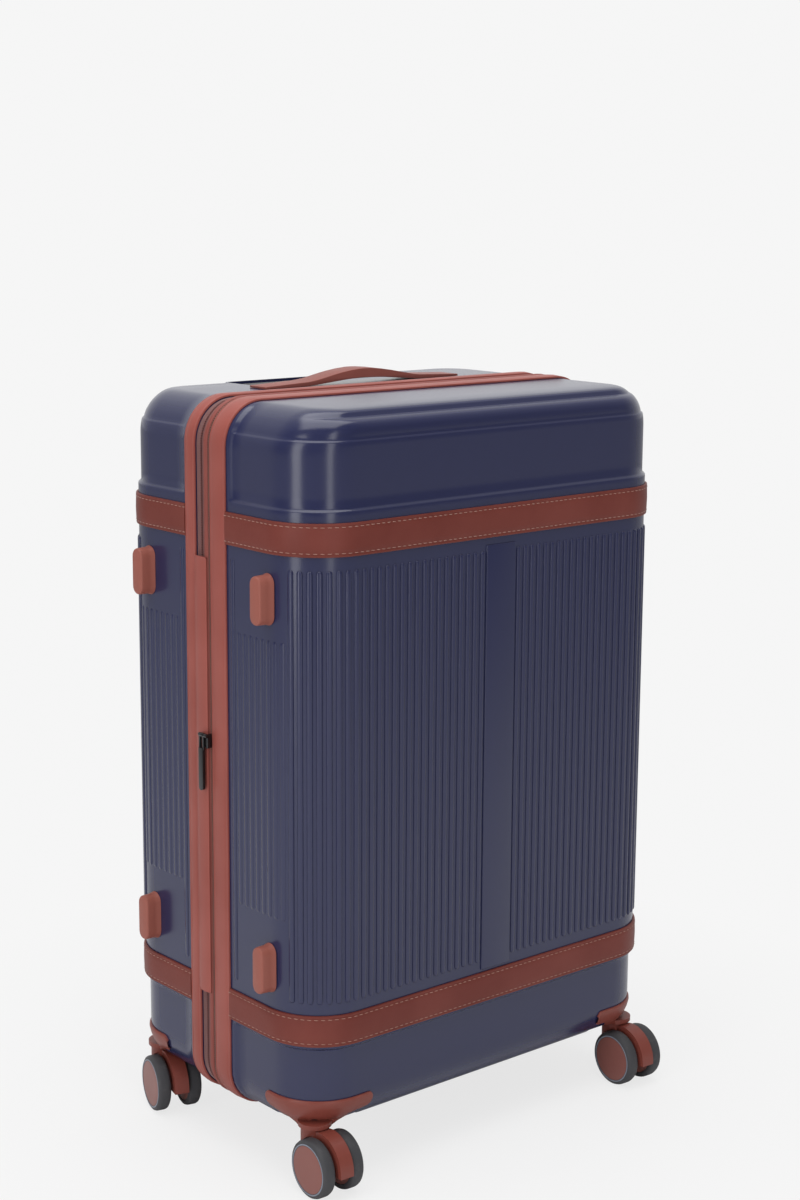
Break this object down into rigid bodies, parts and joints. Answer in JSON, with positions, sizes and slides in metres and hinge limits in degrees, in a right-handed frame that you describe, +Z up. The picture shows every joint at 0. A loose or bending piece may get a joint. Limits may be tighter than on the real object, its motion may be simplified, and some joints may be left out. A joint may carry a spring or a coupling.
{
  "type": "hard shell suitcase on wheels",
  "caption": "Upright hard shell suitcase on twin-wheel swivel casters, with leather trims and belts, zip opening, side lock, carry handles and telescopic handle.",
  "frame": {"origin": "point on the floor under the middle of the closed case", "axes": "+Z up, front face towards -Y, hinge side towards -X"},
  "size_m": [0.508, 0.3449, 0.774],
  "materials": {
    "shell": "satin gloss moulded polycarbonate",
    "trim": "smooth brown synthetic leather",
    "belt": "darker brown synthetic leather with pale stitching",
    "zip_tape": "woven zip tape",
    "piping": "rounded brown piping",
    "gusset": "folded woven gusset",
    "foot": "brown moulded foot",
    "caster_plastic": "brown moulded plastic",
    "hub": "brown moulded hub cap",
    "tyre": "dark grey soft tyre",
    "steel": "zinc plated steel",
    "handle": "brown synthetic leather grip",
    "dark_plastic": "black moulded plastic",
    "tube": "brushed drawn aluminium",
    "button": "grey push button",
    "lock_metal": "dark satin metal",
    "dial": "ribbed number dial",
    "dark_metal": "black nickel",
    "lining": "woven polyester lining",
    "mesh": "open mesh fabric",
    "webbing": "woven strap webbing"
  },
  "bodies": {
    "root": {"rear_shell": "shell", "rear_trim": "trim", "main_zip_rear": "zip_tape", "rear_belts": "belt", "hinge_panel": "trim", "rear_side_feet": "foot", "rear_caster_housings": "caster_plastic", "rear_kingpins": "steel", "handle_mounts": "dark_plastic", "trolley_recess": "dark_plastic", "trolley_outer_tubes": "tube", "lock_housing": "lock_metal", "rear_lining": "lining", "packing_straps": "webbing", "strap_buckle": "dark_plastic", "rear_screws": "steel"},
    "lid_band": {"middle_band": "zip_tape", "edge_piping": "piping"},
    "front": {"front_shell": "shell", "front_trim": "trim", "front_belts": "belt", "expansion_zip_front": "zip_tape", "expansion_gusset": "gusset", "front_side_feet": "foot", "front_caster_housings": "caster_plastic", "front_kingpins": "steel", "front_lining": "lining", "lid_pocket": "mesh"},
    "top_handle": {"top_handle_grip": "handle"},
    "side_handle": {"side_handle_grip": "handle"},
    "trolley_middle": {"trolley_middle_tubes": "tube"},
    "trolley_inner": {"trolley_inner_tubes": "tube", "trolley_grip": "dark_plastic"},
    "trolley_push": {"trolley_button": "button"},
    "release": {"lock_release": "button"},
    "zip_slider_upper": {"main_slider_upper": "dark_metal"},
    "zip_slider_lower": {"main_slider_lower": "dark_metal"},
    "zip_puller_upper": {"main_puller_upper": "dark_metal"},
    "zip_puller_lower": {"main_puller_lower": "dark_metal"},
    "expansion_runner": {"expansion_slider": "dark_metal"},
    "expansion_tab": {"expansion_puller": "dark_metal"},
    "dial_1": {"lock_dial_1": "dial"},
    "dial_2": {"lock_dial_2": "dial"},
    "dial_3": {"lock_dial_3": "dial"},
    "front_left_swivel": {"front_left_fork": "caster_plastic"},
    "front_left_wheels": {"front_left_axle": "steel", "front_left_tyres": "tyre", "front_left_hubs": "hub"},
    "front_right_swivel": {"front_right_fork": "caster_plastic"},
    "front_right_wheels": {"front_right_axle": "steel", "front_right_tyres": "tyre", "front_right_hubs": "hub"},
    "rear_left_swivel": {"rear_left_fork": "caster_plastic"},
    "rear_left_wheels": {"rear_left_axle": "steel", "rear_left_tyres": "tyre", "rear_left_hubs": "hub"},
    "rear_right_swivel": {"rear_right_fork": "caster_plastic"},
    "rear_right_wheels": {"rear_right_axle": "steel", "rear_right_tyres": "tyre", "rear_right_hubs": "hub"}
  },
  "joints": [
    {"name": "lid_open", "type": "hinge", "parent": "root", "child": "lid_band", "pos_m": [-0.255, 0.006, 0.4], "axis": [0, 0, -1], "range_deg": [0, 180], "deforming": ["hinge_panel"]},
    {"name": "expansion", "type": "slide", "parent": "lid_band", "child": "front", "axis": [0, -1, 0], "range_m": [0, 0.05], "deforming": ["expansion_gusset"]},
    {"name": "expansion_zip_run", "type": "slide", "parent": "lid_band", "child": "expansion_runner", "axis": [0, 0, 1], "range_m": [-0.25, 0.25]},
    {"name": "expansion_tab_swing", "type": "hinge", "parent": "expansion_runner", "child": "expansion_tab", "pos_m": [-0.247, 0, 0.4336], "axis": [0, 1, 0], "range_deg": [0, 180]},
    {"name": "main_zip_run_upper", "type": "slide", "parent": "root", "child": "zip_slider_upper", "axis": [0, 0, 1], "range_m": [0, 0.28]},
    {"name": "main_zip_run_lower", "type": "slide", "parent": "root", "child": "zip_slider_lower", "axis": [0, 0, -1], "range_m": [0, 0.28]},
    {"name": "main_puller_lift_upper", "type": "hinge", "parent": "zip_slider_upper", "child": "zip_puller_upper", "pos_m": [0.2452, 0.006, 0.4125], "axis": [0, 0, -1], "range_deg": [0, 105]},
    {"name": "main_puller_lift_lower", "type": "hinge", "parent": "zip_slider_lower", "child": "zip_puller_lower", "pos_m": [0.2452, 0.006, 0.3975], "axis": [0, 0, -1], "range_deg": [0, 105]},
    {"name": "top_handle_lift", "type": "slide", "parent": "root", "child": "top_handle", "axis": [0, 0, 1], "range_m": [0, 0.012]},
    {"name": "side_handle_lift", "type": "slide", "parent": "root", "child": "side_handle", "axis": [1, 0, 0], "range_m": [0, 0.012], "stiffness_N_per_m": 200},
    {"name": "trolley_middle_slide", "type": "slide", "parent": "root", "child": "trolley_middle", "axis": [0, 0, 1], "range_m": [0, 0.17]},
    {"name": "trolley_inner_slide", "type": "slide", "parent": "trolley_middle", "child": "trolley_inner", "axis": [0, 0, 1], "range_m": [0, 0.17]},
    {"name": "trolley_button_press", "type": "slide", "parent": "trolley_inner", "child": "trolley_push", "axis": [0, 0, -1], "range_m": [0, 0.003], "stiffness_N_per_m": 300, "springref_m": -0.001},
    {"name": "lock_release_slide", "type": "slide", "parent": "root", "child": "release", "axis": [0, 1, 0], "range_m": [0, 0.003], "stiffness_N_per_m": 200, "springref_m": -0.001},
    {"name": "lock_dial_1_turn", "type": "hinge", "parent": "root", "child": "dial_1", "pos_m": [0.2395, 0.052, 0.396], "axis": [0, 0, 1], "continuous": true},
    {"name": "lock_dial_2_turn", "type": "hinge", "parent": "root", "child": "dial_2", "pos_m": [0.2395, 0.052, 0.405], "axis": [0, 0, 1], "continuous": true},
    {"name": "lock_dial_3_turn", "type": "hinge", "parent": "root", "child": "dial_3", "pos_m": [0.2395, 0.052, 0.414], "axis": [0, 0, 1], "continuous": true},
    {"name": "front_left_swivel", "type": "hinge", "parent": "front", "child": "front_left_swivel", "pos_m": [-0.2093, -0.1296, 0.055], "axis": [0, 0, 1], "continuous": true},
    {"name": "front_left_roll", "type": "hinge", "parent": "front_left_swivel", "child": "front_left_wheels", "pos_m": [-0.21014, -0.15058, 0.029], "axis": [0.9992, -0.0401, 0], "continuous": true},
    {"name": "front_right_swivel", "type": "hinge", "parent": "front", "child": "front_right_swivel", "pos_m": [0.2093, -0.1296, 0.055], "axis": [0, 0, 1], "continuous": true},
    {"name": "front_right_roll", "type": "hinge", "parent": "front_right_swivel", "child": "front_right_wheels", "pos_m": [0.20827, -0.15057, 0.029], "axis": [0.9988, -0.0489, 0], "continuous": true},
    {"name": "rear_left_swivel", "type": "hinge", "parent": "root", "child": "rear_left_swivel", "pos_m": [-0.2093, 0.1296, 0.055], "axis": [0, 0, 1], "continuous": true},
    {"name": "rear_left_roll", "type": "hinge", "parent": "rear_left_swivel", "child": "rear_left_wheels", "pos_m": [-0.21452, 0.10926, 0.029], "axis": [0.9686, -0.2487, 0], "continuous": true},
    {"name": "rear_right_swivel", "type": "hinge", "parent": "root", "child": "rear_right_swivel", "pos_m": [0.2093, 0.1296, 0.055], "axis": [0, 0, 1], "continuous": true},
    {"name": "rear_right_roll", "type": "hinge", "parent": "rear_right_swivel", "child": "rear_right_wheels", "pos_m": [0.21149, 0.10872, 0.029], "axis": [0.9945, 0.1045, 0], "continuous": true}
  ]
}
